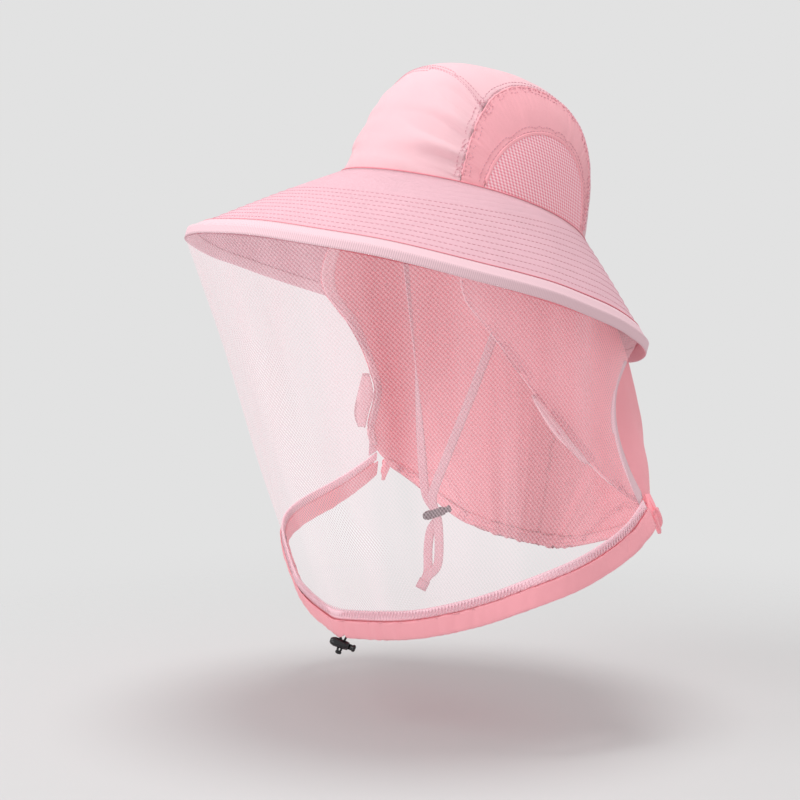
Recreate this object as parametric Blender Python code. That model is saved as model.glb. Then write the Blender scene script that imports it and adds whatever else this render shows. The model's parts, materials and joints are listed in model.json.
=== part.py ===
"""Sun hat with a face veil and a neck flap, of the kind worn around bees.

The hat is drawn in its own frame: x to the wearer's left, y to the back, z along the crown, origin
at the centre of the head opening. It is then tipped back about x and stood at HEAD_CENTRE. Everything
soft that hangs from it is drawn upright. Lengths are in millimetres until a mesh or a curve is made,
and the centre of the head opening becomes the model's origin then.
"""

from math import atan2, cos, hypot, pi, radians, sin, sqrt

import bmesh
import bpy
from mathutils import Matrix, Vector

# Driving dimensions, in millimetres and degrees.
HEAD_HALF_WIDTH = 84.0
HEAD_HALF_LENGTH = 95.0
HEAD_CENTRE = Vector((0, -3, 3))
CROWN_HEIGHT = 100.0
CROWN_ROUNDNESS = 3.6
CROWN_TAPER = 0.14
HAT_TILT = radians(19.6)
BRIM_FRONT, BRIM_SIDE, BRIM_BACK = 191.0, 157.0, 155.0
DROP_FRONT, DROP_SIDE, DROP_BACK = 74.4, 62.0, 60.0
BRIM_SEAM_RISE = 5.2
BRIM_CURVE = 1.06
VEIL_END_ANGLE = radians(120)

FABRIC = 0.8
NET = 0.5
GAP = 0.3

# Crown: the middle strip holds the front and top panels, each side holds a panel around a vent.
STRIP_HALF_BASE = 66.0
STRIP_HALF_TOP = 53.0
FRONT_SEAM_RISE = radians(51)
FRONT_SEAM_DROP = radians(3)
CROWN_HEM = 3.0
VENT_MIDDLE = radians(92.5)
VENT_HALF_SPREAD = radians(30.5)
VENT_HEIGHT = 58.0
SWEATBAND_HEIGHT = 32.0
SWEATBAND = 1.5

# Brim: two covers with an interlining between them, and a binding round the edge.
INTERLINING = 1.2
BRIM_STACK = 2 * FABRIC + INTERLINING + 2 * GAP
BINDING_REACH = 9.0
BINDING = 0.6

# Lower edge of the veil hem, from the front centre to the left corner.
HEM_ROUTE = [
    (0, -111, -294.5),
    (60, -96, -287.3),
    (110, -76.7, -272.8),
    (148, -60, -256),
    (164, -36, -245),
    (166, -8, -235),
    (166, 16, -224),
    (163, 36, -210),
]
CASING_HEIGHT = 15.0
CASING_HALF_DEPTH = 2.75
SEAM_STRIP_HEIGHT = 6.5
SEAM_STRIP = 1.4
VEIL_SCOOP = Vector((-11.5, -19, 0))
SIDE_BINDING_SHARE = 0.03

# Neck flap, as ribs from its top edge to its hem: front edge, side, back of the side, back centre.
FLAP_EDGE = [
    (85, -73, -47),
    (86, -55, -66),
    (91, -27, -103),
    (106, -4, -139),
    (125, 0, -158),
    (140, 15, -178),
    (152, 40, -197),
]
FLAP_SIDE = [(104, 36, -80), (119, 44, -125), (136, 56, -168), (136, 54, -214)]
FLAP_BACK_SIDE = [(78, 80, -90), (90, 81, -130), (98, 74, -175), (60, 53, -238)]
FLAP_BACK = [(0, 94, -100), (0, 87, -150), (0, 77, -200), (0, 68, -246)]
FLAP_TOP_TURNS = [radians(a) for a in (60, 97, 138, 180)]
FLAP_HEM_SHARE = 0.04
FLAP_TAPE_SHARE = 0.02
TAB_REACH = 14.0
FLAP_TAB_ROWS = slice(8, 12)

# Chin ribbons and the two toggles.
RIBBON_WIDTH = 6.5
RIBBON = 0.8
RIBBON_SPACING = 1.3
CHIN_TOGGLE = Vector((0, -27.5, -213.5))
RIBBON_END = Vector((-6, -34.6, -266))
RIBBON_END_SWAY = radians(27)
RIBBON_BOW = [(2.2, 12), (2.6, 27), (1.0, 40)]
RIBBON_BOW_DEPTH = 0.4
RIGHT_RIBBON_SWAY = 0.11
CORD_RADIUS = 0.9
TOGGLE_TURN = radians(50)
CHIN_TOGGLE_LEAN, HEM_TOGGLE_LEAN = radians(18), radians(-20)
TOGGLE_TRAVEL = 2.5
TOGGLE_WALL = 0.9
BUTTON_HEAD = 2.4
KNOT_DROP = 5.0
CHIN_TOGGLE_RADIUS, HEM_TOGGLE_RADIUS = 3.4, 3.3

# How finely the curved pieces are divided.
AROUND = 48
CROWN_COLUMNS, CROWN_ROWS = 12, 10
FLAP_COLUMNS, FLAP_ROWS = 28, 14
VEIL_ROWS = 8
CORD_POINTS = 50
TURNED_SIDES = 20

PALE_PINK = (0.93, 0.62, 0.67)
PINK = (0.85, 0.40, 0.46)
NET_PINK = (0.92, 0.78, 0.82)
BRIM_PINK = (0.87, 0.53, 0.60)
WHITE = (0.85, 0.83, 0.84)
BLACK = (0.02, 0.02, 0.022)
STEEL = (0.55, 0.55, 0.57)


def material(name, colour):
    made = bpy.data.materials.new(name)
    made.use_nodes = True
    shader = made.node_tree.nodes["Principled BSDF"]
    shader.inputs["Base Color"].default_value = (*colour, 1)
    shader.inputs["Roughness"].default_value = 0.8
    return made


def in_world(point):
    """A point of the hat's frame, tipped back with the hat and stood at the head's centre."""
    return HEAD_CENTRE + Matrix.Rotation(-HAT_TILT, 3, "X") @ Vector(point)


def in_metres(point):
    """A point of the model, in metres from the centre of the head opening."""
    return 0.001 * (point - HEAD_CENTRE)


def mirrored(point):
    return Vector((-point[0], point[1], point[2]))


def add_object(name, data, colour):
    made = bpy.data.objects.new(name, data)
    bpy.context.scene.collection.objects.link(made)
    data.materials.append(material(name + "_material", colour))
    return made


def add_mesh(name, points, faces, colour):
    """A closed mesh from millimetre points, with its faces turned outward."""
    data = bpy.data.meshes.new(name)
    data.from_pydata([in_metres(p) for p in points], [], faces)
    shape = bmesh.new()
    shape.from_mesh(data)
    bmesh.ops.recalc_face_normals(shape, faces=shape.faces)
    shape.to_mesh(data)
    shape.free()
    return add_object(name, data, colour)


def add_shell(name, outer, inner, colour, loop=False):
    """A solid between two grids of points of the same size; a loop joins the last row to the first."""
    rows, columns = len(outer), len(outer[0])
    points = [p for row in outer for p in row] + [p for row in inner for p in row]
    back = rows * columns

    def at(i, j):
        return (i % rows) * columns + j

    faces = []
    for i in range(rows if loop else rows - 1):
        for j in range(columns - 1):
            a, b, c, d = at(i, j), at(i + 1, j), at(i + 1, j + 1), at(i, j + 1)
            faces += [(a, b, c), (a, c, d)]
            faces += [(back + a, back + c, back + b), (back + a, back + d, back + c)]
        for j in (0, columns - 1):
            faces.append([at(i, j), at(i + 1, j), back + at(i + 1, j), back + at(i, j)])
    if not loop:
        for i in (0, rows - 1):
            for j in range(columns - 1):
                faces.append([at(i, j), at(i, j + 1), back + at(i, j + 1), back + at(i, j)])
    return add_mesh(name, points, faces, colour)


def normals(grid, outside, loop=False):
    """The unit normals of a grid of points, on the side away from the point outside()."""
    rows, columns = len(grid), len(grid[0])
    found = []
    for i in range(rows):
        before, after = (i - 1, (i + 1) % rows) if loop else (max(i - 1, 0), min(i + 1, rows - 1))
        line = []
        for j in range(columns):
            along = grid[after][j] - grid[before][j]
            across = grid[i][min(j + 1, columns - 1)] - grid[i][max(j - 1, 0)]
            normal = along.cross(across).normalized()
            if normal.dot(grid[i][j] - outside(grid[i][j])) < 0:
                normal = -normal
            line.append(normal)
        found.append(line)
    return found


def offset(grid, directions, distance):
    return [[p + distance * n for p, n in zip(*pair)] for pair in zip(grid, directions)]


def add_layer(name, grid, directions, depth, thickness, colour, loop=False):
    """A cloth whose outer face lies depth inside the grid."""
    outer = offset(grid, directions, -depth)
    inner = offset(grid, directions, -depth - thickness)
    return add_shell(name, outer, inner, colour, loop)


def part_of(grid, columns, rows):
    return [column[rows] for column in grid[columns]]


def steps(start, stop, count):
    return [start + (stop - start) * k / count for k in range(count + 1)]


def mixed(start, stop, share):
    return start + (stop - start) * share


def spline(points, share):
    """A smooth curve through the points, at a share of its length from 0 to 1."""
    ends = [2 * points[0] - points[1], *points, 2 * points[-1] - points[-2]]
    place = min(max(share, 0), 1) * (len(points) - 1)
    k = min(int(place), len(points) - 2)
    t = place - k
    a, b, c, d = ends[k : k + 4]
    return 0.5 * (2 * b + (c - a) * t + (2 * a - 5 * b + 4 * c - d) * t**2 + (3 * b - a - 3 * c + d) * t**3)


def even_line(points, count):
    """Evenly spaced points along a smooth curve through the given points."""
    return line_at(points, steps(0, 1, count))


def line_at(points, shares):
    """Points at shares of the length of a smooth curve through the given points."""
    points = [Vector(p) for p in points]
    fine = [spline(points, t) for t in steps(0, 1, 24 * len(points))]
    reach = [0.0]
    for a, b in zip(fine, fine[1:]):
        reach.append(reach[-1] + (b - a).length)
    line, k = [], 0
    for share in shares:
        want = share * reach[-1]
        while k < len(fine) - 2 and reach[k + 1] < want:
            k += 1
        line.append(fine[k].lerp(fine[k + 1], (want - reach[k]) / (reach[k + 1] - reach[k])))
    return line


# ---- crown -----------------------------------------------------------------------------------


def crown_scale(height):
    """How much narrower the crown is at a height than at its base."""
    share = min(max(height / CROWN_HEIGHT, 0), 1)
    return (1 - CROWN_TAPER * share) * (1 - share**CROWN_ROUNDNESS) ** (1 / CROWN_ROUNDNESS)


def crown_at(turn, height):
    """The crown's surface at a turn from the front and a height."""
    scale = crown_scale(height)
    return Vector((HEAD_HALF_WIDTH * scale * sin(turn), -HEAD_HALF_LENGTH * scale * cos(turn), height))


def strip_at(across, rise, inset=0.0):
    """The crown's surface across the middle strip (-1 to 1), at an angle from the front base over the top."""
    low, high = 0.0, 2 * HEAD_HALF_LENGTH
    for _ in range(40):
        reach = (low + high) / 2
        y, z = -reach * cos(rise), reach * sin(rise)
        narrowing = min(max(z / CROWN_HEIGHT, 0), 1)
        x = across * (mixed(STRIP_HALF_BASE, STRIP_HALF_TOP, narrowing) - inset)
        if hypot(x / HEAD_HALF_WIDTH, y / HEAD_HALF_LENGTH) > crown_scale(z) or z > CROWN_HEIGHT:
            high = reach
        else:
            low = reach
    return Vector((x, y, z))


def lowered(line):
    return [p - Vector((0, 0, CROWN_HEM)) for p in line]


def crown_middle(_point):
    return in_world((0, 0, CROWN_HEIGHT / 4))


def tipped(grid):
    return [[in_world(p) for p in row] for row in grid]


def add_crown_layer(name, grid, depth, thickness, colour, loop=False):
    directions = normals(grid, crown_middle, loop)
    add_layer(name, grid, directions, depth, thickness, colour, loop)


def front_seam(across):
    return FRONT_SEAM_RISE - FRONT_SEAM_DROP * across**2


def add_front_panel():
    shares = steps(-1, 1, CROWN_COLUMNS)
    rows = [
        [strip_at(a, front_seam(a) * t, GAP / 2) for a in shares] for t in steps(0, 1, CROWN_ROWS)
    ]
    grid = tipped([lowered(rows[0]), *rows])
    add_crown_layer("front_crown_panel", grid, 0, FABRIC, PALE_PINK)


def add_top_panel():
    shares = steps(-1, 1, CROWN_COLUMNS)
    gap = GAP / HEAD_HALF_LENGTH
    rows = [
        [strip_at(a, mixed(front_seam(a) + gap, pi, t), GAP / 2) for a in shares]
        for t in steps(0, 1, CROWN_ROWS + 7)
    ]
    grid = tipped([*rows, lowered(rows[-1])])
    add_crown_layer("top_crown_panel", grid, 0, FABRIC, PALE_PINK)


def vent_arch(share, inset=0.0):
    """Turn and height of the vent's arch, from its front foot to its back foot."""
    spread = VENT_HALF_SPREAD - inset / HEAD_HALF_WIDTH
    height = (VENT_HEIGHT - inset) * max(sin(pi * share), 0) ** 0.8
    return VENT_MIDDLE - spread * cos(pi * share), height


def add_side_panel(name, side):
    rows = []
    for share in steps(0, 1, 2 * CROWN_COLUMNS):
        outer = strip_at(1, pi * share, -GAP / 2)
        turn = atan2(outer.x / HEAD_HALF_WIDTH, -outer.y / HEAD_HALF_LENGTH)
        arch_turn, arch_height = vent_arch(share)
        rows.append(
            [crown_at(mixed(arch_turn, turn, t), mixed(arch_height, outer.z, t)) for t in steps(0, 1, 3)]
        )
    rows = [lowered(rows[0]), *rows, lowered(rows[-1])]
    add_sided_cloth(name, rows, FABRIC, PINK, side)


def add_vent(name, side):
    rows = []
    for share in steps(0, 1, 14):
        turn, height = vent_arch(share, 2 * GAP)
        rows.append([crown_at(turn, mixed(-CROWN_HEM, height, t)) for t in steps(0, 1, 5)])
    add_sided_cloth(name, rows, 0.6, PINK, side)


def add_sided_cloth(name, rows, thickness, colour, side):
    if side < 0:
        rows = [[mirrored(p) for p in row] for row in rows]
    add_crown_layer(name, tipped(rows), 0, thickness, colour)


def add_sweatband():
    heights = steps(-CROWN_HEM, SWEATBAND_HEIGHT - CROWN_HEM, 2)
    rows = [[crown_at(turn, h) for h in heights] for turn in steps(0, 2 * pi, AROUND)[:-1]]
    add_crown_layer("sweatband", tipped(rows), FABRIC + 3 * GAP, SWEATBAND, WHITE, loop=True)


# ---- brim ------------------------------------------------------------------------------------


def around(front, side, back, angle):
    """A smooth value round the hat that is front, side and back at those angles."""
    middle = (front + back) / 2
    return (middle + side) / 2 + (front - back) / 2 * cos(angle) + (middle - side) / 2 * cos(2 * angle)


def opening_radius(angle):
    """Radius of the brim's inner edge, which clears the crown."""
    wide, long = HEAD_HALF_WIDTH + GAP, HEAD_HALF_LENGTH + GAP
    return wide * long / hypot(long * sin(angle), wide * cos(angle))


def brim_at(angle, share, depth):
    """The brim at a share from its inner to its outer edge, at a depth below its top face."""
    start, stop = opening_radius(angle), around(BRIM_FRONT, BRIM_SIDE, BRIM_BACK, angle)
    drop = around(DROP_FRONT, DROP_SIDE, DROP_BACK, angle)
    rise = BRIM_SEAM_RISE * sin(angle) ** 2
    radius = mixed(start, stop, share)
    slope = BRIM_CURVE * (drop + rise) * share ** (BRIM_CURVE - 1) / (stop - start)
    height = rise - (drop + rise) * share**BRIM_CURVE - depth * sqrt(1 + slope**2)
    return Vector((radius * sin(angle), -radius * cos(angle), height))


def add_brim_layer(name, depth, thickness, colour):
    outer, inner = [], []
    for angle in steps(0, 2 * pi, AROUND)[:-1]:
        shares = (0, 0.33, 0.66, binding_start(angle), 1)
        outer.append([in_world(brim_at(angle, s, depth)) for s in shares])
        inner.append([in_world(brim_at(angle, s, depth + thickness)) for s in shares])
    add_shell(name, outer, inner, colour, loop=True)


def binding_start(angle):
    """Share of the brim at which the edge binding starts."""
    width = around(BRIM_FRONT, BRIM_SIDE, BRIM_BACK, angle) - opening_radius(angle)
    return 1 - BINDING_REACH / hypot(width, around(DROP_FRONT, DROP_SIDE, DROP_BACK, angle))


def binding_chain(angle, clearance):
    """Half of the binding's U: over the top cover, down the edge and back under the lower cover."""
    outward = Vector((sin(angle), -cos(angle), 0)) * clearance
    start = binding_start(angle)
    top = [brim_at(angle, s, -clearance) for s in (start, 1)]
    under = [brim_at(angle, s, BRIM_STACK + clearance) for s in (1, start)]
    corner, lower_corner = top[-1] + outward, under[0] + outward
    return [in_world(p) for p in (*top, corner, lower_corner, *under)]


def add_binding():
    angles = steps(0, 2 * pi, AROUND)[:-1]
    outer = [binding_chain(a, GAP + BINDING) for a in angles]
    inner = [binding_chain(a, GAP) for a in angles]
    add_shell("brim_edge_binding", outer, inner, NET_PINK, loop=True)


# ---- veil ------------------------------------------------------------------------------------


def hem_edge(share):
    """Lower edge of the veil at a share from -1 (right corner) to 1 (left corner)."""
    line = even_line(HEM_ROUTE, 60)
    place = abs(share) * 60
    k = min(int(place), 59)
    point = line[k].lerp(line[k + 1], place - k)
    return mirrored(point) if share < 0 else point


def veil_top(share):
    angle = VEIL_END_ANGLE * share
    depth = BRIM_STACK + 2 * GAP + BINDING
    return in_world(brim_at(angle, 0.99, depth)) - Vector((0, 0, 2 * GAP))


def veil_at(share, drop):
    """The veil at a share round the face and a drop in millimetres above its lower edge."""
    low, top = hem_edge(share), veil_top(share)
    t = drop / (top - low).length
    pull = max(0, (abs(share) - 0.55) / 0.45) ** 2 * sin(pi * t**1.3)
    scoop = mirrored(VEIL_SCOOP) if share < 0 else VEIL_SCOOP
    return low.lerp(top, t) + pull * scoop


def hem_frame(share):
    """The hem's lower edge with its upward and outward directions."""
    low = hem_edge(share)
    upward = (veil_at(share, 30) - low).normalized()
    along = hem_edge(min(share + 0.01, 1)) - hem_edge(max(share - 0.01, -1))
    outward = along.cross(upward).normalized()
    if outward.dot(low - Vector((0, 40, low.z))) < 0:
        outward = -outward
    return low, upward, outward


def hem_chain(share, section):
    low, upward, outward = hem_frame(share)
    return [low + upward * up + outward * out for out, up in section]


def veil_middle(point):
    return Vector((0, 40, point.z))


def add_veil_net():
    """The net, with a narrow hem laid on the outside of each free edge."""
    low = CASING_HEIGHT + SEAM_STRIP_HEIGHT + 2 * GAP
    inside = 1 - SIDE_BINDING_SHARE
    grid = []
    for share in [-1, *steps(-inside, inside, AROUND - 2), 1]:
        top = (veil_top(share) - hem_edge(share)).length
        grid.append([veil_at(share, d) for d in steps(low, top, VEIL_ROWS)])
    directions = normals(grid, veil_middle)
    add_layer("veil_net", grid, directions, -NET / 2, NET, NET_PINK)
    for name, columns in (("right", slice(0, 2)), ("left", slice(-2, None))):
        rows = slice(0, -1)
        edge, away = part_of(grid, columns, rows), part_of(directions, columns, rows)
        add_layer(f"veil_side_binding_{name}", edge, away, -NET - GAP - NET / 2, NET, NET_PINK)


def add_seam_strip():
    half = SEAM_STRIP / 2
    low = CASING_HEIGHT + GAP
    outer = [(half, low), (half, low + SEAM_STRIP_HEIGHT)]
    inner = [(-half, low), (-half, low + SEAM_STRIP_HEIGHT)]
    shares = steps(-1, 1, AROUND)
    grids = [[hem_chain(s, section) for s in shares] for section in (outer, inner)]
    add_shell("hem_seam_strip", *grids, BRIM_PINK)


def casing_section(wall):
    """One face of the folded casing, from its top edge on the outside round to the inside."""
    half = CASING_HALF_DEPTH - wall
    base = wall
    right = [(half, CASING_HEIGHT), (half, base + 2.6), (0.65 * half, base + 0.8), (0, base)]
    return right + [(-x, y) for x, y in reversed(right[:-1])]


def add_casing():
    shares = steps(-1, 1, AROUND)
    grids = [[hem_chain(s, casing_section(wall)) for s in shares] for wall in (0, FABRIC)]
    casing = add_shell("hem_casing", *grids, PINK)
    eyelet = Vector((15, 2 * CASING_HALF_DEPTH - 1, 8))
    cut(casing, [box("eyelet_cutter", hem_edge(0), eyelet)])


# ---- neck flap -------------------------------------------------------------------------------


def flap_top(turn):
    """Where the flap meets the bottom of the crown."""
    inside = FABRIC / 2
    return in_world(
        (
            (HEAD_HALF_WIDTH - inside) * sin(turn),
            -(HEAD_HALF_LENGTH - inside) * cos(turn),
            -CROWN_HEM - 2 * GAP,
        )
    )


def flap_grid():
    """The flap's surface from its right front edge round the back to its left front edge."""
    routes = [FLAP_EDGE, FLAP_SIDE, FLAP_BACK_SIDE, FLAP_BACK]
    shares = [*steps(0, 1 - FLAP_HEM_SHARE, FLAP_ROWS - 1), 1]
    ribs = [
        line_at([flap_top(turn), *route], shares) for turn, route in zip(FLAP_TOP_TURNS, routes)
    ]
    ribs = [[mirrored(p) for p in rib] for rib in ribs] + list(reversed(ribs[:-1]))
    turns = [0, *steps(FLAP_TAPE_SHARE, 1 - FLAP_TAPE_SHARE, FLAP_COLUMNS - 2), 1]
    return [[spline([rib[r] for rib in ribs], t) for r in range(len(shares))] for t in turns]


def flap_middle(point):
    return Vector((0, 0, point.z))


def add_flap():
    """The flap, with the turned-in hems along its lower and front edges."""
    grid = flap_grid()
    directions = normals(grid, flap_middle)
    add_layer("neck_flap", grid, directions, 0, FABRIC, PINK)
    hems = {
        "flap_hem_tape": (slice(1, -1), slice(-2, None)),
        "flap_front_tape_right": (slice(0, 2), slice(1, -2)),
        "flap_front_tape_left": (slice(-2, None), slice(1, -2)),
    }
    for name, (columns, rows) in hems.items():
        edge, inward = part_of(grid, columns, rows), part_of(directions, columns, rows)
        add_layer(name, edge, inward, FABRIC + 2 * GAP, FABRIC, PINK)


def add_ear_tab(name, side):
    """A small tab that stands forward of the flap's front edge and carries a snap."""
    column = flap_grid()[-1 if side > 0 else 0][FLAP_TAB_ROWS]
    forward = Vector((0.45 * side, -0.9, 0))
    rows = []
    for k, point in enumerate(column):
        bulge = TAB_REACH * sin(pi * (k + 0.5) / len(column))
        rows.append([point + forward * (1 + bulge * t) for t in steps(0, 1, 3)])
    add_layer(f"ear_tab_{name}", rows, normals(rows, flap_middle), 0, FABRIC, PALE_PINK)
    snap = (column[1] + column[2]) / 2 + forward * 9
    outward = forward.cross(Vector((0, 0, 1))) * -side
    cap = [(0, 0), (0, 2.4), (0.5, 2.2), (1.1, 1.2), (1.2, 0)]
    add_turned(f"ear_tab_snap_{name}", cap, snap + outward * 2, outward, BRIM_PINK, 12)


def add_corner_gather(name, side):
    """The gathered tail where a flap corner and a casing end are tacked together."""
    start = Vector((157 * side, 42, -196))
    tail = [(0, 0), (1, 1.6), (5, 2.8), (11, 2.4), (17, 1.4), (18, 0)]
    add_turned(f"corner_gather_{name}", tail, start, Vector((0.16 * side, 0.05, -1)), PINK, 12)


# ---- turned pieces, boxes and cuts -----------------------------------------------------------


def frame_along(axis, centre):
    """A frame at the centre whose z runs along the axis."""
    turn = axis.normalized().to_track_quat("Z", "Y").to_matrix().to_4x4()
    return Matrix.Translation(centre) @ turn


def add_turned(name, profile, centre, axis, colour, sides):
    """A solid turned from (along, radius) points; both ends of the profile lie on the axis."""
    frame = frame_along(Vector(axis), centre)
    points = [frame @ Vector((0, 0, profile[0][0])), frame @ Vector((0, 0, profile[-1][0]))]
    rings = profile[1:-1]
    for along, radius in rings:
        for k in range(sides):
            angle = 2 * pi * k / sides
            points.append(frame @ Vector((radius * cos(angle), radius * sin(angle), along)))
    faces = []
    for k in range(sides):
        after = (k + 1) % sides
        faces.append([0, 2 + after, 2 + k])
        last = 2 + (len(rings) - 1) * sides
        faces.append([1, last + k, last + after])
        for ring in range(len(rings) - 1):
            a = 2 + ring * sides
            faces.append([a + k, a + after, a + sides + after, a + sides + k])
    return add_mesh(name, points, faces, colour)


def box(name, centre, size, frame=None, colour=BLACK):
    """A hidden cutter with its sides along the frame's axes."""
    frame = frame or Matrix.Identity(3)
    corners = [
        centre + frame @ Vector((x * size.x, y * size.y, z * size.z)) / 2
        for x in (-1, 1)
        for y in (-1, 1)
        for z in (-1, 1)
    ]
    faces = [(0, 1, 3, 2), (4, 6, 7, 5), (0, 4, 5, 1), (2, 3, 7, 6), (0, 2, 6, 4), (1, 5, 7, 3)]
    made = add_mesh(name, corners, faces, colour)
    made.hide_render = True
    made.display_type = "WIRE"
    return made


def cut(target, cutters):
    for cutter in cutters:
        modifier = target.modifiers.new(cutter.name, "BOOLEAN")
        modifier.operation = "DIFFERENCE"
        modifier.solver = "EXACT"
        modifier.object = cutter


# ---- ribbons, cords and toggles --------------------------------------------------------------


def add_ribbon(name, line, widths):
    """A flat ribbon along a line, wide along the direction given at each of its points."""
    outer, inner = [], []
    for k, point in enumerate(line):
        along = line[min(k + 1, len(line) - 1)] - line[max(k - 1, 0)]
        across = (widths[k] - along * widths[k].dot(along) / along.length_squared).normalized()
        face = along.cross(across).normalized() * RIBBON / 2
        edges = [point - across * RIBBON_WIDTH / 2, point + across * RIBBON_WIDTH / 2]
        outer.append([p + face for p in edges])
        inner.append([p - face for p in edges])
    add_shell(name, outer, inner, PINK)


def anchor_point(side):
    """The inner face of the sweatband at its lower edge, above the ear."""
    inside = FABRIC + 3 * GAP + SWEATBAND + 5 * GAP + RIBBON / 2
    height = 8
    return in_world(((HEAD_HALF_WIDTH * crown_scale(height) - inside) * side, 0, height))


def toggle_frame(lean):
    """Axis, front and down directions of a toggle whose axis leans up from level."""
    level = Vector((cos(TOGGLE_TURN), sin(TOGGLE_TURN), 0))
    axis = level * cos(lean) + Vector((0, 0, sin(lean)))
    down = level * sin(lean) - Vector((0, 0, cos(lean)))
    return axis, down.cross(axis), down


def ribbon_end_frame():
    """The same directions at the ribbons' stitched end, which sways back."""
    return toggle_frame(-RIBBON_END_SWAY)


def ribbon_width(side, share):
    """Direction across a ribbon: the right one stands edge-on to the left one until the toggle."""
    if side > 0:
        return Vector((0, 1, 0)).lerp(toggle_frame(0)[0], share)
    quarter = pi / 2
    turn = mixed(quarter, TOGGLE_TURN + quarter, share / 0.5)
    if share > 0.5:
        turn = TOGGLE_TURN + quarter + quarter * min((share - 0.5) / 0.35, 1)
    return Vector((cos(turn), sin(turn), 0))


def add_chin_ribbon(name, side):
    axis, front, down = toggle_frame(CHIN_TOGGLE_LEAN)
    level = toggle_frame(0)[0]
    _across, end_front, end_down = ribbon_end_frame()
    start = anchor_point(side)
    through = CHIN_TOGGLE + front * 0.5 * RIBBON_SPACING * side
    end = RIBBON_END + end_front * 0.5 * RIBBON_SPACING * side
    above = even_line(
        [
            start,
            start + Vector((-1 * side, -1, -14)),
            start.lerp(through, 0.5) + Vector((2 * side, -2, 0)),
            through - down * 16 + (level + front) * 3 * side,
            through - down * 5,
        ],
        22,
    )
    bow = [
        through + (level * out + front * RIBBON_BOW_DEPTH) * side - Vector((0, 0, drop))
        for out, drop in RIBBON_BOW
    ]
    if side < 0:
        bow = [p - level * RIGHT_RIBBON_SWAY * (through.z - p.z) for p in bow]
    below = even_line([through + down * 5, *bow, end - end_down * 7], 9)
    line = [*above, through, *below, end + end_down * 1.5]
    widths = [ribbon_width(side, k / len(above)) for k in range(len(above))]
    widths += [side * axis] * (len(line) - len(above))
    add_ribbon(name, line, widths)


def add_ribbon_end():
    """The folded end, stitched over both ribbons."""
    across, front, down = ribbon_end_frame()
    frame = Matrix((across, front, down)).transposed()
    size = Vector((RIBBON_WIDTH + 1.5, 2 * RIBBON_SPACING + 1.6, 7))
    hole = Vector((RIBBON_WIDTH + 2 * GAP, RIBBON_SPACING + RIBBON + 2 * GAP, 7))
    sleeve = box("chin_ribbon_end", RIBBON_END, size, frame, PINK)
    sleeve.hide_render = False
    sleeve.display_type = "TEXTURED"
    cut(sleeve, [box("ribbon_end_cutter", RIBBON_END - down * 2, hole, frame)])


def add_anchor(name, side):
    """The tack that holds a ribbon to the sweatband."""
    frame = Matrix.Rotation(-HAT_TILT, 3, "X")
    place = anchor_point(side) + frame @ Vector((-(RIBBON / 2 + GAP + 0.6) * side, 0, -3))
    tack = box(name, place, Vector((1.2, RIBBON_WIDTH + 3, 4)), frame, PINK)
    tack.hide_render = False
    tack.display_type = "TEXTURED"


def add_toggle(prefix, centre, lean, cord_span, cord_depth, radius):
    """A barrel toggle with a sprung button at one end; cords run down through it."""
    axis, front, down = toggle_frame(lean)
    slot = cord_span / 2 + GAP
    plunger_end = -slot - 1.0
    bore_end = plunger_end - TOGGLE_TRAVEL - 1.3
    body_end = bore_end - 1.2
    mouth = slot + TOGGLE_TRAVEL + 0.5
    head = mouth + TOGGLE_TRAVEL + GAP
    bore = radius - TOGGLE_WALL
    barrel = [
        (body_end, 0),
        (body_end, 0.45 * radius),
        (body_end + 1, 0.75 * radius),
        (body_end + 3.2, radius),
        (slot, radius),
        (mouth, bore + 0.4),
        (mouth, bore),
        (bore_end, bore),
        (bore_end, 0),
    ]
    body = add_turned(prefix + "_body", barrel, centre, axis, BLACK, TURNED_SIDES)
    plunger = bore - GAP
    knob = [
        (plunger_end, 0),
        (plunger_end, plunger),
        (head, plunger),
        (head + 0.3, bore + 0.2),
        (head + BUTTON_HEAD - 0.8, bore + 0.2),
        (head + BUTTON_HEAD, 0.6 * bore),
        (head + BUTTON_HEAD, 0),
    ]
    button = add_turned(prefix + "_button", knob, centre, axis, BLACK, TURNED_SIDES)
    frame = Matrix((axis, front, down)).transposed()
    height = 4 * radius
    opening = Vector((2 * slot, cord_depth + 2 * GAP, height))
    long_opening = Vector((2 * slot + TOGGLE_TRAVEL, cord_depth + 2 * GAP, height))
    cut(body, [box(prefix + "_body_slot", centre, opening, frame)])
    shifted = centre + axis * TOGGLE_TRAVEL / 2
    cut(button, [box(prefix + "_button_slot", shifted, long_opening, frame)])
    spring_length = plunger_end - bore_end - 2 * GAP
    spring_base = centre + axis * (bore_end + GAP)
    add_spring(prefix + "_spring", spring_base, (axis, front, down), spring_length, bore - 0.6)


def add_spring(name, base, directions, length, radius):
    axis, front, down = directions
    turns, wire = 3, 0.25
    line = []
    for t in steps(0, 1, 10 * turns):
        angle = 2 * pi * turns * t
        along = wire + (length - 2 * wire) * t
        line.append(base + axis * along + (front * cos(angle) + down * sin(angle)) * radius)
    add_cord(name, line, wire, STEEL, 0)


def add_cord(name, line, radius, colour, roundness=2):
    curve = bpy.data.curves.new(name, "CURVE")
    curve.dimensions = "3D"
    curve.bevel_depth = 0.001 * radius
    curve.bevel_resolution = roundness
    curve.use_fill_caps = True
    path = curve.splines.new("POLY")
    path.points.add(len(line) - 1)
    for place, point in zip(path.points, line):
        place.co = (*in_metres(point), 1)
    add_object(name, curve, colour)


def hem_toggle_centre():
    return hem_edge(0) + Vector((0, 0, -1 - HEM_TOGGLE_RADIUS))


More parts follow.
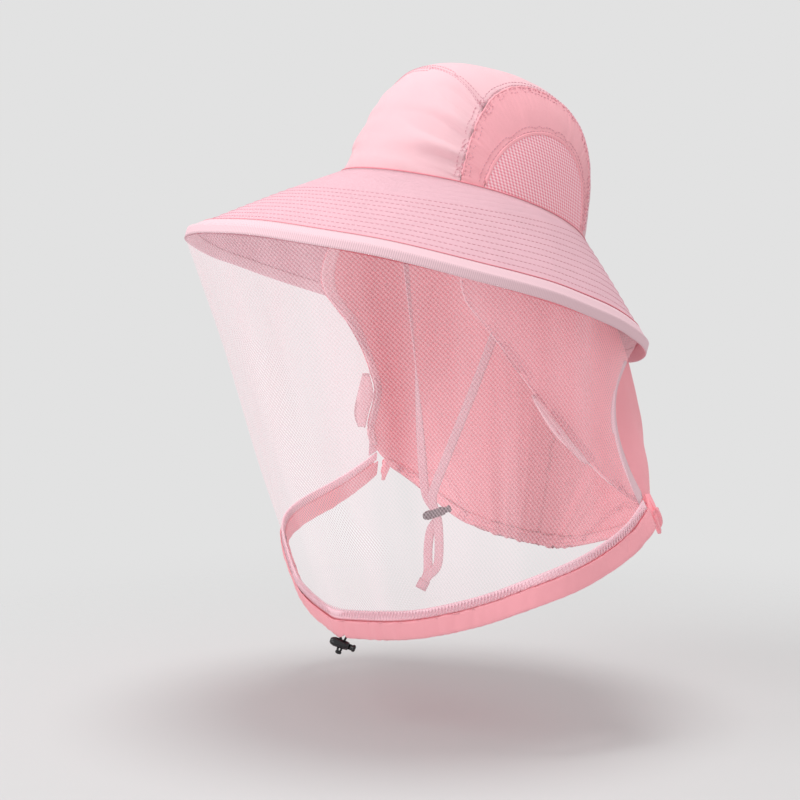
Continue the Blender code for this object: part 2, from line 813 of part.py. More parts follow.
def add_drawcord(name, side):
    """Half of the drawcord: from a corner along the casing, out at the front and through the toggle."""
    inside = []
    for share in steps(0.985, 0.04, 12):
        low, upward, _outward = hem_frame(side * share)
        inside.append(low + upward * 4.2)
    axis, _front, down = toggle_frame(HEM_TOGGLE_LEAN)
    through = hem_toggle_centre() + axis * side * (CORD_RADIUS + GAP)
    line = even_line([*inside, through - down * HEM_TOGGLE_RADIUS * 1.1], CORD_POINTS)
    add_cord(name, [*line, through, through + down * KNOT_DROP], CORD_RADIUS, BLACK)


def add_knot():
    down = toggle_frame(HEM_TOGGLE_LEAN)[2]
    profile = [(GAP, 0), (GAP, 1.8), (1.2, 2.4), (2.2, 2.0), (2.8, 0)]
    add_turned("drawcord_knot", profile, hem_toggle_centre() + down * KNOT_DROP, down, BLACK, 12)


def build():
    for old in list(bpy.data.objects):
        bpy.data.objects.remove(old)
    add_front_panel()
    add_top_panel()
    for name, side in (("left", 1), ("right", -1)):
        add_side_panel(f"{name}_side_panel", side)
        add_vent(f"{name}_vent_mesh", side)
        add_ear_tab(name, side)
        add_corner_gather(name, side)
        add_chin_ribbon(f"chin_ribbon_{name}", side)
        add_anchor(f"chin_anchor_{name}", side)
        add_drawcord(f"drawcord_{name}", side)
    add_sweatband()
    add_brim_layer("upper_brim_cover", 0, FABRIC, BRIM_PINK)
    add_brim_layer("brim_interlining", FABRIC + GAP, INTERLINING, WHITE)
    add_brim_layer("lower_brim_cover", BRIM_STACK - FABRIC, FABRIC, BRIM_PINK)
    add_binding()
    add_veil_net()
    add_seam_strip()
    add_casing()
    add_flap()
    add_ribbon_end()
    ribbons = RIBBON_WIDTH, RIBBON_SPACING + RIBBON
    add_toggle("chin_toggle", CHIN_TOGGLE, CHIN_TOGGLE_LEAN, *ribbons, CHIN_TOGGLE_RADIUS)
    cords = 4 * CORD_RADIUS + 2 * GAP, 2 * CORD_RADIUS
    add_toggle("hem_toggle", hem_toggle_centre(), HEM_TOGGLE_LEAN, *cords, HEM_TOGGLE_RADIUS)
    add_knot()


build()
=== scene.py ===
"""Looks of a soft beekeeping veil: a sun hat with a net in front of the face and a flap over the neck.

Each cloth is grown from its own node of the frame, so it keeps that node's place and size. The hat is
tipped back: hat coordinates have x to the wearer's left, y to the back and z along the crown.
"""

import json
from math import atan2, cos, exp, hypot, pi, radians, sin

import bmesh
import bpy
from mathutils import Matrix, Vector, noise
from mathutils.bvhtree import BVHTree


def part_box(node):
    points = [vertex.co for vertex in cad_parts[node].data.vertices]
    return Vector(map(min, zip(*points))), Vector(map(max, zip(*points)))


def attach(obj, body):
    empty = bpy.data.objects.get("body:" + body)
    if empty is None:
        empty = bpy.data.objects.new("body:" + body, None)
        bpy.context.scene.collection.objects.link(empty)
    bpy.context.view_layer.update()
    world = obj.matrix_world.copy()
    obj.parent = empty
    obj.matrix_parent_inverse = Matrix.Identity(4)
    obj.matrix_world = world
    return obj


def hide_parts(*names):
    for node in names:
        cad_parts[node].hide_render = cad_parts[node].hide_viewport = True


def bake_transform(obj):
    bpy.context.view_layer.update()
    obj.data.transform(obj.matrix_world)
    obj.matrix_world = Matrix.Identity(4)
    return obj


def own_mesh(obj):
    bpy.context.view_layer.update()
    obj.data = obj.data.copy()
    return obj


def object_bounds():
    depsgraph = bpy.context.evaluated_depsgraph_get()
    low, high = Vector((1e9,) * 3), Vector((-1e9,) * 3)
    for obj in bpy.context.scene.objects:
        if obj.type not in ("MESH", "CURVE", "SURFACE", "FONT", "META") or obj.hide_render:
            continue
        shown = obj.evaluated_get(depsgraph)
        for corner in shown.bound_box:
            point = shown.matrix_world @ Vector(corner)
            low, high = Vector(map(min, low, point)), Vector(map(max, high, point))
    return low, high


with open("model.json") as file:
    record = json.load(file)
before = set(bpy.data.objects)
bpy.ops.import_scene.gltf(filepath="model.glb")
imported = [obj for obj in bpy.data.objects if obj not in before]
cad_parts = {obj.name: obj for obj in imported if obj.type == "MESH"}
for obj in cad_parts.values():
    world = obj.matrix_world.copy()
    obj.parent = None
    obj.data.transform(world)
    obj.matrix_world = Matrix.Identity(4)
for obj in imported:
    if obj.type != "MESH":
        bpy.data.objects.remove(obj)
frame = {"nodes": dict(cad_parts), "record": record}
CAD_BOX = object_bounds()

MM = 0.001
UP = -Vector(frame["record"]["mounts"][0]["axis"])
LEFT = Vector((1, 0, 0))
HAT = Matrix((LEFT, UP.cross(LEFT), UP))

# The camera looks at the wearer's left cheek from a little above.
CAMERA_TURN = radians(51.74)
CAMERA_RISE = radians(4.91)
CAMERA_DISTANCE = 1.589
CAMERA_LENS = 98.6
CAMERA_AIM = Vector((0, 0.003, -0.103))
AIM_LEFT, AIM_DOWN = 0.0478, 0.0331

# The floor lies FLOOR_DROP below the object and fades from FLOOR_SOLID to FLOOR_REACH.
FLOOR_DROP = 0.050
FLOOR_SOLID, FLOOR_REACH = 0.25, 0.75
FLOOR_TONE = 0.62
FLOOR_SIDES = 64
# The studio's brightness, as the camera sees it and as it lights the object.
BACKDROP, AMBIENT = 0.76, 0.70

# Colours of the cloths, threads and plastics.
PALE = (0.94, 0.575, 0.625)
PINK = (0.92, 0.41, 0.46)
ROSE = (0.89, 0.52, 0.595)
CORAL = (0.88, 0.28, 0.34)
HUNG_PINK = (0.94, 0.385, 0.435)
KNIT_LIGHT, KNIT_DARK = (0.99, 0.70, 0.75), (0.80, 0.14, 0.22)
BAND = (0.93, 0.63, 0.69)
WHITE = (0.93, 0.88, 0.90)
VEIL = (0.98, 0.76, 0.81)
RIBBON = (0.90, 0.50, 0.56)
# THREAD is darker than the cloth: partly the thread's own colour, partly painted shade for the dips where
# the stitches sink in.
THREAD = (0.74, 0.34, 0.41)
OVERLOCK = (0.96, 0.62, 0.69)
BLACK = (0.012, 0.012, 0.014)
STEEL = (0.55, 0.55, 0.57)

# Painted glow: the light that each thin cloth gives off by itself, as a share of its colour, in place of
# light passing through it.
NET_GLOW, FLAP_GLOW, VENT_GLOW, PANEL_GLOW = 0.26, 0.125, 0.08, 0.06
SHEEN = 0.15
DYE_PATCH, DYE_CONTRAST = 0.03, 0.06

# Radii that turn an angle into a length along the cloth, and the axis that the hanging cloths go round.
RING_RADIUS = 0.15
WALL_RADIUS = 0.14
STRIP_RADIUS = 0.1
WALL_AXIS_Y = 0.04


# ---- camera, light and floor -----------------------------------------------------------------


def turned(turn, rise):
    """The direction from the object towards a place at a turn and a rise."""
    return Vector((sin(turn) * cos(rise), -cos(turn) * cos(rise), sin(rise)))


def add_camera():
    away = turned(CAMERA_TURN, CAMERA_RISE)
    right = Vector((cos(CAMERA_TURN), sin(CAMERA_TURN), 0))
    above = away.cross(right)
    place = CAMERA_AIM + away * CAMERA_DISTANCE
    aim = CAMERA_AIM - right * AIM_LEFT - above * AIM_DOWN
    data = bpy.data.cameras.new("camera")
    data.lens = CAMERA_LENS
    camera = bpy.data.objects.new("camera", data)
    bpy.context.scene.collection.objects.link(camera)
    camera.location = place
    camera.rotation_euler = (aim - place).to_track_quat("-Z", "Y").to_euler()
    bpy.context.scene.camera = camera


def add_light(name, turn, rise, distance, size, power):
    """A round lamp at a turn and a rise in degrees, aimed at the object."""
    data = bpy.data.lights.new(name, "AREA")
    data.shape = "DISK"
    data.size = size
    data.energy = power
    light = bpy.data.objects.new(name, data)
    bpy.context.scene.collection.objects.link(light)
    direction = turned(radians(turn), radians(rise))
    light.location = CAMERA_AIM + direction * distance
    light.rotation_euler = direction.to_track_quat("Z", "Y").to_euler()


def add_lights():
    add_light("key_light", -15, 35, 2.2, 1.4, 12)
    add_light("top_light", 20, 88, 2.0, 0.9, 20)
    add_light("veil_light", 5, -12, 2.4, 1.2, 12)


def add_world():
    """An even studio: what the camera sees of it is a little brighter than what it gives."""
    world = bpy.data.worlds.new("studio")
    world.use_nodes = True
    bpy.context.scene.world = world
    tree = world.node_tree
    background = tree.nodes["Background"]
    background.inputs["Color"].default_value = (1, 1, 1, 1)
    path = tree.nodes.new("ShaderNodeLightPath")
    strength = tree.nodes.new("ShaderNodeMapRange")
    tree.links.new(path.outputs["Is Camera Ray"], strength.inputs["Value"])
    strength.inputs["To Min"].default_value = AMBIENT
    strength.inputs["To Max"].default_value = BACKDROP
    tree.links.new(strength.outputs["Result"], background.inputs["Strength"])


def add_floor():
    """A pale floor under the object that fades into the even studio around it."""
    turns = [2 * pi * k / FLOOR_SIDES for k in range(FLOOR_SIDES)]
    rim = [(FLOOR_REACH * cos(turn), FLOOR_REACH * sin(turn), 0) for turn in turns]
    data = bpy.data.meshes.new("floor")
    data.from_pydata(rim, [], [range(FLOOR_SIDES)])
    made = Finish("pale_floor", (FLOOR_TONE,) * 3, 0.9)
    place = made.tree.nodes.new("ShaderNodeTexCoord").outputs["Object"]
    distance = made.tree.nodes.new("ShaderNodeVectorMath")
    distance.operation = "LENGTH"
    made.put(distance.inputs[0], place)
    cover = made.tree.nodes.new("ShaderNodeMapRange")
    cover.interpolation_type = "SMOOTHERSTEP"
    cover.inputs["From Min"].default_value = FLOOR_SOLID
    cover.inputs["From Max"].default_value = FLOOR_REACH
    cover.inputs["To Min"].default_value = 1
    cover.inputs["To Max"].default_value = 0
    made.put(cover.inputs["Value"], distance.outputs["Value"])
    made.put(made.shader.inputs["Alpha"], cover.outputs["Result"])
    made.shader.inputs["Specular IOR Level"].default_value = 0
    data.materials.append(made.material)
    floor = bpy.data.objects.new("floor", data)
    floor.location.z = CAD_BOX[0].z - FLOOR_DROP
    bpy.context.scene.collection.objects.link(floor)


# ---- materials -------------------------------------------------------------------------------


class Finish:
    """A material that is put together from a few nodes."""

    def __init__(self, name, colour, roughness=0.8):
        self.material = bpy.data.materials.new(name)
        self.material.use_nodes = True
        self.tree = self.material.node_tree
        self.shader = self.tree.nodes["Principled BSDF"]
        self.shader.inputs["Base Color"].default_value = (*colour, 1)
        self.shader.inputs["Roughness"].default_value = roughness

    def node(self, kind, *inputs, **settings):
        made = self.tree.nodes.new(kind)
        for name, value in settings.items():
            setattr(made, name, value)
        for socket, value in zip(made.inputs, inputs):
            self.put(socket, value)
        return made.outputs[0]

    def put(self, socket, value):
        if isinstance(value, bpy.types.NodeSocket):
            self.tree.links.new(value, socket)
        elif value is not None:
            socket.default_value = value

    def math(self, operation, *inputs):
        return self.node("ShaderNodeMath", *inputs, operation=operation)

    def cloth_place(self):
        """Two lengths along the cloth, in metres."""
        split = self.tree.nodes.new("ShaderNodeSeparateXYZ")
        self.put(split.inputs[0], self.node("ShaderNodeUVMap", uv_map="cloth"))
        return split.outputs[0], split.outputs[1]

    def threads(self, along, spacing):
        """A wave with one crest for each thread."""
        return self.math("SINE", self.math("MULTIPLY", along, 2 * pi / spacing))

    def mottle(self, size):
        """Soft patches of about the given size, from 0 to 1."""
        place = self.tree.nodes.new("ShaderNodeTexCoord").outputs["Object"]
        made = self.tree.nodes.new("ShaderNodeTexNoise")
        self.put(made.inputs["Vector"], place)
        made.inputs["Scale"].default_value = 1 / size
        made.inputs["Detail"].default_value = 3
        return made.outputs["Fac"]

    def streaks(self, width, length):
        """Long upright folds, from 0 to 1: noise that is stretched along the cloth."""
        across, along = self.cloth_place()
        place = self.tree.nodes.new("ShaderNodeCombineXYZ")
        self.put(place.inputs[0], self.math("DIVIDE", across, width))
        self.put(place.inputs[1], self.math("DIVIDE", along, length))
        made = self.tree.nodes.new("ShaderNodeTexNoise")
        self.put(made.inputs["Vector"], place.outputs[0])
        made.inputs["Scale"].default_value = 1
        return made.outputs["Fac"]

    def between(self, share, low, high):
        made = self.tree.nodes.new("ShaderNodeMix")
        made.data_type = "RGBA"
        self.put(made.inputs["Factor"], share)
        self.put(made.inputs["A"], (*low, 1))
        self.put(made.inputs["B"], (*high, 1))
        return made.outputs["Result"]

    def bump(self, height, distance):
        made = self.tree.nodes.new("ShaderNodeBump")
        made.inputs["Strength"].default_value = 1
        made.inputs["Distance"].default_value = distance
        self.put(made.inputs["Height"], height)
        self.put(self.shader.inputs["Normal"], made.outputs[0])


def painted_glow(made, colour, share):
    """Painted glow: the cloth gives off light of its own colour at a fixed strength, in place of the light
    that thin cloth lets through from its other side.
    """
    made.shader.inputs["Emission Color"].default_value = (*colour, 1)
    made.shader.inputs["Emission Strength"].default_value = share
    return made.material


def shaded(colour, factor):
    """A lighter or darker version of a colour."""
    return tuple(c * factor for c in colour)


def woven(name, colour, spacing=0.9 * MM, depth=0.12 * MM, rows=None, glow=0):
    """Plain woven cloth: warp and weft, with slow patches of lighter and darker dye.

    Quilted cloth sinks a little along its rows of stitching: rows is their start and spacing."""
    made = Finish(name, colour)
    across, along = made.cloth_place()
    warp, weft = made.threads(across, spacing), made.threads(along, spacing)
    weave = made.math("MULTIPLY", warp, weft)
    tone = made.math("ADD", made.math("MULTIPLY", weave, 0.12), made.mottle(DYE_PATCH))
    dyed = made.between(tone, shaded(colour, 1 - DYE_CONTRAST), shaded(colour, 1 + DYE_CONTRAST))
    made.put(made.shader.inputs["Base Color"], dyed)
    made.shader.inputs["Sheen Weight"].default_value = SHEEN
    if rows:
        start, row_spacing = rows
        offset = made.math("SUBTRACT", along, start)
        beside = made.math("PINGPONG", offset, row_spacing / 2)
        swell = made.math("MINIMUM", made.math("DIVIDE", beside, row_spacing / 4), 1.0)
        swell = made.math("MULTIPLY", swell, QUILT_DEPTH / depth)
        weave = made.math("ADD", weave, swell)
    made.bump(weave, depth)
    return painted_glow(made, colour, glow)


def knitted(name, colour, dark, spacing=2.6 * MM, depth=0.3 * MM):
    """Knitted mesh: slanting rows of small holes."""
    made = Finish(name, colour)
    across, along = made.cloth_place()
    slant = made.math("ADD", across, made.math("MULTIPLY", along, 0.45))
    rows, holes = made.threads(slant, spacing), made.threads(along, spacing * 0.8)
    height = made.math("MULTIPLY", rows, 0.6)
    height = made.math("ADD", height, made.math("MULTIPLY", holes, 0.4))
    share = made.math("MULTIPLY_ADD", height, 0.5, 0.5)
    made.put(made.shader.inputs["Base Color"], made.between(share, dark, colour))
    made.bump(height, depth)
    return painted_glow(made, colour, VENT_GLOW)


def dotted(name, colour, dark, spacing=1.2 * MM, depth=0.015 * MM):
    """A fine net laid over cloth: small even dots."""
    made = Finish(name, colour)
    across, along = made.cloth_place()
    dots = made.math("MULTIPLY", made.threads(across, spacing), made.threads(along, spacing))
    share = made.math("MULTIPLY_ADD", dots, 0.5, 0.5)
    made.put(made.shader.inputs["Base Color"], made.between(share, dark, colour))
    made.bump(dots, depth)
    return made.material


def netting(name, colour, spacing=2.1 * MM, cover=0.21, contrast=0.12):
    """Fine net: threads that cross at a slant, with holes that let the rest show through."""
    made = Finish(name, colour, 0.9)
    across, along = made.cloth_place()
    lean = made.math("MULTIPLY", along, 0.6)
    one = made.threads(made.math("ADD", across, lean), spacing)
    other = made.threads(made.math("SUBTRACT", across, lean), spacing)
    threads = made.math("MULTIPLY_ADD", other, 0.3, made.math("MULTIPLY", one, 0.7))
    gathered = made.math("MULTIPLY_ADD", made.streaks(0.03, 0.6), 0.36, cover - 0.18)
    alpha = made.math("MULTIPLY_ADD", threads, contrast, gathered)
    made.put(made.shader.inputs["Alpha"], alpha)
    return painted_glow(made, colour, NET_GLOW)


def moulded(name, colour, roughness=0.22):
    """Glossy plastic with the faint unevenness of a small moulding."""
    made = Finish(name, colour, roughness)
    made.bump(made.mottle(0.002), 0.02 * MM)
    return made.material


def metal(name, colour):
    """Bare drawn wire."""
    made = Finish(name, colour, 0.3)
    made.shader.inputs["Metallic"].default_value = 1.0
    made.bump(made.mottle(0.001), 0.01 * MM)
    return made.material


# ---- cloths grown from the frame -------------------------------------------------------------


def in_hat(point):
    """A point in hat coordinates."""
    return HAT @ point


def wall_turn(point):
    """The turn from the front of a point on what hangs round the head."""
    return atan2(point.x, WALL_AXIS_Y - point.y)


def body_of(node):
    """The body of the frame that a node belongs to."""
    bodies = frame["record"]["behaviour"]["bodies"]
    return next(name for name, nodes in bodies.items() if node in nodes)


def strip_place(point):
    """Cloth lengths on a strip that runs over the head from the front to the back."""
    p = in_hat(point)
    return p.x, atan2(p.z, -p.y) * STRIP_RADIUS


def side_place(point):
    """Cloth lengths on a side of the crown."""
    p = in_hat(point)
    return p.y, p.z


def ring_place(point):
    """Cloth lengths on a ring such as the brim: around it, and in from the brim's edge."""
    p = in_hat(point)
    turn = atan2(p.x, -p.y)
    return turn * RING_RADIUS, brim_radius(turn) - hypot(p.x, p.y)


def brim_radius(turn):
    """Distance from the crown's axis to the brim's edge, at a turn from the front."""
    front, side, back = BRIM_REACH
    middle = (front + back) / 2
    return (middle + side) / 2 + (front - back) / 2 * cos(turn) + (middle - side) / 2 * cos(2 * turn)


def brim_reach():
    """How far the brim's top cover goes to the front, to the side and to the back."""
    corners = [in_hat(v.co) for v in frame["nodes"]["upper_brim_cover"].data.vertices]
    front, back = -min(p.y for p in corners), max(p.y for p in corners)
    return front, max(p.x for p in corners if abs(p.y) < 0.1 * front), back


def wall_place(point):
    """Cloth lengths on what hangs down around the head."""
    return wall_turn(point) * WALL_RADIUS, point.z


def grown(node, levels):
    """A smooth copy of a node's mesh: corners joined, triangles paired, then subdivided."""
    shape = bmesh.new()
    shape.from_mesh(frame["nodes"][node].data)
    bmesh.ops.remove_doubles(shape, verts=shape.verts, dist=0.001 * MM)
    bmesh.ops.join_triangles(
        shape, faces=shape.faces, angle_face_threshold=radians(35), angle_shape_threshold=radians(120)
    )
    crease = shape.edges.layers.float.new("crease_edge")
    for edge in shape.edges:
        if len(edge.link_faces) == 2 and edge.calc_face_angle() > radians(50):
            edge[crease] = 1.0
    rough = bpy.data.meshes.new(node)
    shape.to_mesh(rough)
    shape.free()
    holder = bpy.data.objects.new(node, rough)
    bpy.context.scene.collection.objects.link(holder)
    modifier = holder.modifiers.new("smooth", "SUBSURF")
    modifier.levels = modifier.render_levels = levels
    graph = bpy.context.evaluated_depsgraph_get()
    smooth = bpy.data.meshes.new_from_object(holder.evaluated_get(graph))
    bpy.data.objects.remove(holder)
    bpy.data.meshes.remove(rough)
    return smooth


def outward(point, middle):
    """The direction out of the object at a point."""
    return (point - middle(point)).normalized()


def drop_back(data, middle, least=0.3):
    """Leaves only the outer face of a cloth."""
    shape = bmesh.new()
    shape.from_mesh(data)
    inner = [
        face
        for face in shape.faces
        if face.normal.dot(outward(face.calc_center_median(), middle)) < least
    ]
    bmesh.ops.delete(shape, geom=inner, context="FACES")
    shape.to_mesh(data)
    shape.free()


def veil_middle(point):
    """The place inside the hanging cloths at a point's own height."""
    return Vector((0, WALL_AXIS_Y, point.z))


def crown_middle(_point):
    """A place inside the crown, a little above the head opening."""
    return HAT.transposed() @ Vector((0, 0, 0.02))


def shift(data, middle, change):
    """Moves each point of a cloth outward by change(point)."""
    moves = []
    for vertex in data.vertices:
        way = UP if middle is crown_below else vertex.normal.copy()
        if way.dot(vertex.co - middle(vertex.co)) < 0:
            way = -way
        moves.append(way * change(vertex.co))
    for vertex, move in zip(data.vertices, moves):
        vertex.co += move


def lay_out(data, place):
    """Writes the cloth lengths; a face that crosses the back of the ring keeps its corners together."""
    layer = data.uv_layers.new(name="cloth")
    where = [place(vertex.co) for vertex in data.vertices]
    for face in data.polygons:
        corners = [where[data.loops[i].vertex_index] for i in face.loop_indices]
        widest = max(c[0] for c in corners)
        for i, corner in zip(face.loop_indices, corners):
            around = 2 * pi * RING_RADIUS if widest - corner[0] > RING_RADIUS * pi else 0
            layer.data[i].uv = (corner[0] + around, corner[1])


def show(name, data, material, body="hat"):
    for face in data.polygons:
        face.use_smooth = True
    data.materials.clear()
    data.materials.append(material)
    made = bpy.data.objects.new(name, data)
    bpy.context.scene.collection.objects.link(made)
    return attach(made, body) if body else made


def cloth(
    node, material, place, slot, levels=2, middle=crown_middle, change=None, sheet_only=False, body="hat"
):
    """A finished cloth that stands for a node."""
    data = grown(node, levels)
    if sheet_only:
        drop_back(data, middle)
    if change:
        shift(data, middle, change)
    lay_out(data, place)
    made = show(node + "_cloth", data, material, body)
    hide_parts(node)
    return made


def outer_face(node, levels, middle, change=None):
    """The outer face of a node's cloth, shaped as the cloth itself is."""
    data = grown(node, levels)
    if change:
        shift(data, middle, change)
    drop_back(data, middle)
    return data


def borders(data):
    """The closed border lines of an open cloth, the longest first: points with the way out of the cloth."""
    shape = bmesh.new()
    shape.from_mesh(data)
    left = {edge for edge in shape.edges if len(edge.link_faces) == 1}
    loops = []
    while left:
        edge = min(left, key=lambda e: e.index)
        start, vertex = edge.verts
        loop = []
        while edge:
            left.discard(edge)
            loop.append((vertex.co.copy(), vertex.normal.copy()))
            edge = next((e for e in vertex.link_edges if e in left), None)
            vertex = edge.other_vert(vertex) if edge else start
        loops.append(loop)
    shape.free()
    return sorted(loops, key=lambda loop: -sum((b[0] - a[0]).length for a, b in zip(loop, loop[1:])))


def moved_in(data, loop, inset, lift=0.0):
    """A border line moved in over the cloth by inset and then off it by lift."""
    tree = BVHTree.FromPolygons([v.co for v in data.vertices], [f.vertices for f in data.polygons])
    line = []
    for k, (point, normal) in enumerate(loop):
        along = loop[(k + 1) % len(loop)][0] - loop[k - 1][0]
        inward = normal.cross(along).normalized()
        probe = tree.find_nearest(point + inward * MM)[0]
        if (probe - point).dot(inward) < 0.4 * MM:
            inward = -inward
        place, face_normal, _, _ = tree.find_nearest(point + inward * inset)
        if face_normal.dot(normal) < 0:
            face_normal = -face_normal
        line.append(place + face_normal * lift)
    return line


def pieces_of(line, wanted):
    """The runs of a closed line whose points are wanted."""
    keep = [wanted(p) for p in line]
    if all(keep):
        return [line + line[:1]]
    start = keep.index(False)
    turned_line, turned_keep = line[start:] + line[:start], keep[start:] + keep[:start]
    runs, run = [], []
    for point, kept in zip(turned_line, turned_keep):
        if kept:
            run.append(point)
        elif run:
            runs.append(run)
            run = []
    return [r for r in [*runs, run] if len(r) > 2]


def even(line, spacing):
    """Points at even distances along a line."""
    reach = [0.0]
    for a, b in zip(line, line[1:]):
        reach.append(reach[-1] + (b - a).length)
    count = max(int(reach[-1] / spacing), 1)
    points, k = [], 0
    for i in range(count + 1):
        want = reach[-1] * i / count
        while k < len(line) - 2 and reach[k + 1] < want:
            k += 1
        span = max(reach[k + 1] - reach[k], 1e-9)
        points.append(line[k].lerp(line[k + 1], (want - reach[k]) / span))
    return points


def tube_rings(line, radii, points, faces, sides=6):
    """Adds a closed tube with a radius at each point of the line."""
    first = len(points)
    up = Vector((0.31, 0.17, 0.93))
    for k, point in enumerate(line):
        along = (line[min(k + 1, len(line) - 1)] - line[max(k - 1, 0)]).normalized()
        across = along.cross(up).normalized()
        over = across.cross(along)
        for j in range(sides):
            angle = 2 * pi * j / sides
            points.append(point + (across * cos(angle) + over * sin(angle)) * radii[k])
    for k in range(len(line) - 1):
        for j in range(sides):
            a, b = first + k * sides + j, first + k * sides + (j + 1) % sides
            faces.append((a, b, b + sides, a + sides))
    last = first + (len(line) - 1) * sides
    faces.append(tuple(first + j for j in reversed(range(sides))))
    faces.append(tuple(last + j for j in range(sides)))


def thread_mesh(name, points, faces, material):
    data = bpy.data.meshes.new(name)
    data.from_pydata(points, [], faces)
    return show(name, data, material)


def stitched(name, lines, material, length=2.4 * MM, pitch=3.6 * MM, radius=0.28 * MM):
    """Running stitches along lines: short threads that dip into the cloth at both ends."""
    points, faces = [], []
    for line in lines:
        stops = even(line, pitch)
        for a, b in zip(stops, stops[1:]):
            end = a.lerp(b, length / pitch)
            stitch = [a.lerp(end, t) for t in (0, 0.25, 0.75, 1)]
            tube_rings(stitch, [0.35 * radius, radius, radius, 0.35 * radius], points, faces)
    return thread_mesh(name, points, faces, material)


def corded(name, lines, material, radius):
    """A thin round piping along lines."""
    points, faces = [], []
    for line in lines:
        line = even(line, 2 * MM)
        tube_rings(line, [radius] * len(line), points, faces, 8)
    return thread_mesh(name, points, faces, material)


def hard(node, material, bevel=0.12 * MM):
    """A small moulded piece with softened edges."""
    shape = bmesh.new()
    shape.from_mesh(frame["nodes"][node].data)
    bmesh.ops.remove_doubles(shape, verts=shape.verts, dist=0.001 * MM)
    bmesh.ops.dissolve_limit(shape, angle_limit=radians(1), verts=shape.verts, edges=shape.edges)
    sharp = [e for e in shape.edges if len(e.link_faces) == 2 and e.calc_face_angle() > radians(40)]
    bmesh.ops.bevel(shape, geom=sharp, offset=bevel, segments=2, affect="EDGES", clamp_overlap=True)
    data = bpy.data.meshes.new(node)
    shape.to_mesh(data)
    shape.free()
    data.set_sharp_from_angle(angle=radians(50))
    lay_out(data, wall_place)
    made = show(node + "_shape", data, material, body_of(node))
    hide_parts(node)
    return made


def squeeze(spring):
    """Gives the spring a mesh of its own."""
    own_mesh(spring)


# ---- stitching and folds -----------------------------------------------------------------------


BRIM_ROWS = 11
BRIM_ROW_SPACING = 5 * MM
BRIM_BAND = 9 * MM
QUILT_DEPTH = 0.25 * MM
PUCKER_PITCH = 5 * MM
ZIGZAG_PITCH, ZIGZAG_HEIGHT = 1.3 * MM, 5 * MM
ZIGZAG_RADIUS, ZIGZAG_LIFT = 0.45 * MM, 0.9 * MM
CROWN_SHOWS_ABOVE = 6 * MM
TUFT_FOLDS, TUFT_STEPS, TUFT_TWIST = 5, 14, 1.8
TUFT_SPREAD, TUFT_RADIUS = 3 * MM, 1.5 * MM
TUFT_LEAN, TUFT_RISE = 12 * MM, 8 * MM
FRONT_FOLD, SIDE_FOLD, DEEPEST_FOLD = 17 * MM, 2 * MM, 0.8 * MM


def above_brim(point):
    """Whether a point of the crown shows above the brim."""
    return in_hat(point).z > CROWN_SHOWS_ABOVE


def strip_edge():
    """Half the width of the strip over the head, as a function of the height on the crown."""
    corners = [in_hat(v.co) for v in frame["nodes"]["top_crown_panel"].data.vertices]
    top = max(c.z for c in corners)
    base_half = max(c.x for c in corners if c.z < 0.1 * top)
    top_half = max(c.x for c in corners if c.z > 0.8 * top)
    return lambda z: base_half + (top_half - base_half) * min(max(z / top, 0), 1)


def puckers(broad):
    """Gathers at the seams of the strip: short ones, and broad folds that run into the panel."""
    edge = strip_edge()

    def change(point):
        p = in_hat(point)
        away = abs(abs(p.x) - edge(p.z))
        run = atan2(p.z, -p.y) * STRIP_RADIUS
        wobble = noise.noise(Vector((p.x * 40, run * 50, 7)))
        short = 0.45 * MM * exp(-away / (5 * MM)) * sin(2 * pi * run / PUCKER_PITCH + 5 * wobble)
        open_cloth = exp(-away / (19 * MM)) - exp(-away / (7 * MM))
        fold = broad * open_cloth * noise.noise(Vector((p.x * 16, run * 75, 3)))
        fold = max(fold, -DEEPEST_FOLD)
        return (short + fold) * min(max(p.z / (8 * MM), 0), 1)

    return change


def brim_ripple(point):
    """The slight waves of the brim, which grow towards its edge."""
    p = in_hat(point)
    turn = atan2(p.x, -p.y)
    share = min(max(1 - (brim_radius(turn) - hypot(p.x, p.y)) / (60 * MM), 0), 1)
    return 0.9 * MM * share * noise.noise(Vector((3 * cos(turn), 3 * sin(turn), 5)))


def flap_folds(point):
    """Soft upright folds that deepen towards the flap's hem."""
    turn = wall_turn(point)
    drop = min(max(-point.z / 0.25, 0), 1)
    return 3.2 * MM * drop * noise.noise(Vector((turn * 7, point.z * 9, 2)))


def veil_folds(point):
    """Long slack folds in the middle of the net's height."""
    turn = wall_turn(point)
    slack = sin(pi * min(max(-point.z / 0.29, 0), 1)) ** 2
    return 4 * MM * slack * noise.noise(Vector((turn * 6, point.z * 5, 9)))


def casing_puckers(point):
    """The small gathers that the drawcord makes in its casing."""
    turn = wall_turn(point)
    return 0.6 * MM * noise.noise(Vector((turn * 26, point.z * 25, 4)))


def gather_folds(point):
    """Sharp little folds where a corner is drawn together and tacked."""
    turn = wall_turn(point)
    return 0.9 * MM * sin(turn * 260 + point.z * 500)


def sew_crown(thread):
    """Rows of topstitching along the seams of the crown."""
    lines = []
    changes = {
        "front_crown_panel": puckers(FRONT_FOLD),
        "top_crown_panel": puckers(SIDE_FOLD),
        "left_side_panel": puckers(SIDE_FOLD),
        "right_side_panel": puckers(SIDE_FOLD),
    }
    for node, change in changes.items():
        face = outer_face(node, 2, crown_middle, change)
        border = borders(face)[0]
        for inset in (1.5 * MM, 5 * MM):
            lines += pieces_of(moved_in(face, border, inset, 0.15 * MM), above_brim)
    stitched("crown_stitches", lines, thread, 2 * MM, 3 * MM)


def sew_seams(pink):
    """The turned-in seam allowances that close the crown's seams and the vents' edges."""
    lines = []
    for side in ("left", "right"):
        for node in (f"{side}_side_panel", f"{side}_vent_mesh"):
            face = outer_face(node, 2, crown_middle, puckers(0))
            lines += pieces_of(moved_in(face, borders(face)[0], 0, -0.3 * MM), above_brim)
    corded("crown_seams", lines, pink, 0.75 * MM)


